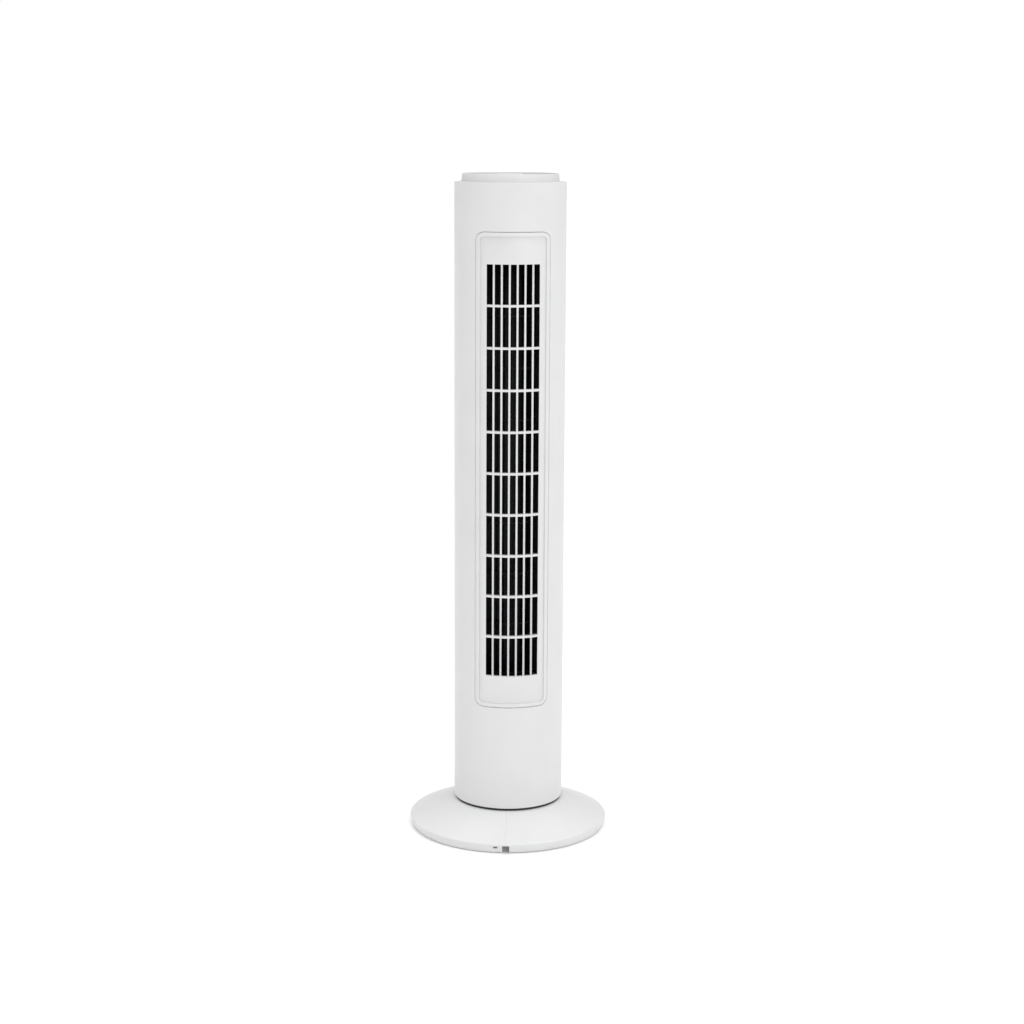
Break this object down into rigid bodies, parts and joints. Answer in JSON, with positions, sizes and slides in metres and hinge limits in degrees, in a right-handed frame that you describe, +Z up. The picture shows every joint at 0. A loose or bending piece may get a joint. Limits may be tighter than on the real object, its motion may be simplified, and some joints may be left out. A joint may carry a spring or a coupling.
{
  "type": "tower fan",
  "caption": "White round tower fan on a round two-piece base, with a slotted front grille, raised top collar, rear intake slats and a swinging column.",
  "frame": {"origin": "centre of the base on the floor, under the column's axis", "axes": "+Z up along the column, front grille towards -Y, +X to the right for a viewer facing the front"},
  "size_m": [0.23, 0.23, 0.7567],
  "materials": {
    "shell_white": "white moulded ABS, satin",
    "panel_grey": "light grey moulded plastic, fine texture",
    "key_white": "white moulded keys",
    "key_grey": "grey moulded off key",
    "knob_white": "white moulded dial",
    "rubber_dark": "moulded rubber",
    "swivel_black": "dark moulded nylon",
    "acetal": "natural acetal",
    "wheel_black": "black moulded plastic",
    "duct_dark": "dark moulded plastic",
    "zinc": "zinc-plated steel",
    "steel": "ground steel",
    "bronze": "sintered bronze",
    "shield_alu": "pressed aluminium",
    "lamination": "stacked steel laminations",
    "copper": "enamelled copper wire",
    "switch_dark": "dark switch housing",
    "timer_cream": "cream timer case",
    "capacitor_white": "white film capacitor case",
    "wire_sleeve": "black wire sleeve"
  },
  "bodies": {
    "base": {"base_half_left": "shell_white", "base_half_right": "shell_white", "rubber_feet": "rubber_dark", "cord_grommet": "rubber_dark", "pivot_plate": "swivel_black", "thrust_washer": "acetal", "lock_nut": "swivel_black", "swivel_retainer": "zinc", "retainer_screws": "zinc"},
    "column": {"bottom_cover": "shell_white", "front_shell": "shell_white", "rear_shell": "shell_white", "shell_screws": "zinc", "front_grille": "shell_white", "carry_handle": "shell_white", "top_cap": "shell_white", "control_panel": "panel_grey", "switch_bank": "switch_dark", "timer_body": "timer_cream", "bearing_plate": "duct_dark", "bearing_bush": "bronze", "stator": "lamination", "windings": "copper", "motor_shield_upper": "shield_alu", "motor_shield_lower": "shield_alu", "motor_plate": "duct_dark", "motor_mounts": "rubber_dark", "motor_screws": "zinc", "capacitor": "capacitor_white", "swing_bracket": "zinc", "bracket_screws": "zinc", "swing_motor": "shield_alu", "air_guide": "duct_dark", "vortex_tongue": "duct_dark", "wire_harness": "wire_sleeve", "lead_clamp": "swivel_black"},
    "wheel": {"impeller": "wheel_black", "motor_shaft": "steel", "rotor": "lamination", "stub_shaft": "steel"},
    "timer_dial": {"timer_knob": "knob_white", "timer_spindle": "steel"},
    "crank": {"swing_crank": "acetal", "swing_shaft": "steel"},
    "key_0": {"key_0": "key_grey"},
    "key_1": {"key_1": "key_white"},
    "key_2": {"key_2": "key_white"},
    "key_3": {"key_3": "key_white"},
    "swing_key": {"swing_key": "key_white"}
  },
  "joints": [
    {"name": "swing", "type": "hinge", "parent": "base", "child": "column", "pos_m": [0, 0, 0.036], "axis": [0, 0, 1], "range_deg": [-39.8, 30.2]},
    {"name": "wheel_spin", "type": "hinge", "parent": "column", "child": "wheel", "pos_m": [0, 0.004, 0.4], "axis": [0, 0, 1], "continuous": true},
    {"name": "crank_turn", "type": "hinge", "parent": "column", "child": "crank", "pos_m": [0, 0.016, 0.05], "axis": [0, 0, 1], "range_deg": [-95.9, 126.1]},
    {"name": "timer_turn", "type": "hinge", "parent": "column", "child": "timer_dial", "pos_m": [0, 0.018, 0.75], "axis": [0, 0, -1], "range_deg": [0, 270]},
    {"name": "key_0_press", "type": "slide", "parent": "column", "child": "key_0", "axis": [0, 0, -1], "range_m": [0, 0.003], "stiffness_N_per_m": 300, "springref_m": -0.002},
    {"name": "key_1_press", "type": "slide", "parent": "column", "child": "key_1", "axis": [0, 0, -1], "range_m": [0, 0.003], "stiffness_N_per_m": 300, "springref_m": -0.002},
    {"name": "key_2_press", "type": "slide", "parent": "column", "child": "key_2", "axis": [0, 0, -1], "range_m": [0, 0.003], "stiffness_N_per_m": 300, "springref_m": -0.002},
    {"name": "key_3_press", "type": "slide", "parent": "column", "child": "key_3", "axis": [0, 0, -1], "range_m": [0, 0.003], "stiffness_N_per_m": 300, "springref_m": -0.002},
    {"name": "swing_key_press", "type": "slide", "parent": "column", "child": "swing_key", "axis": [0, 0, -1], "range_m": [0, 0.003], "stiffness_N_per_m": 300, "springref_m": -0.002}
  ],
  "couplings": [
    {"joint": "crank_turn", "follows": "swing", "ratio": -3.143}
  ]
}
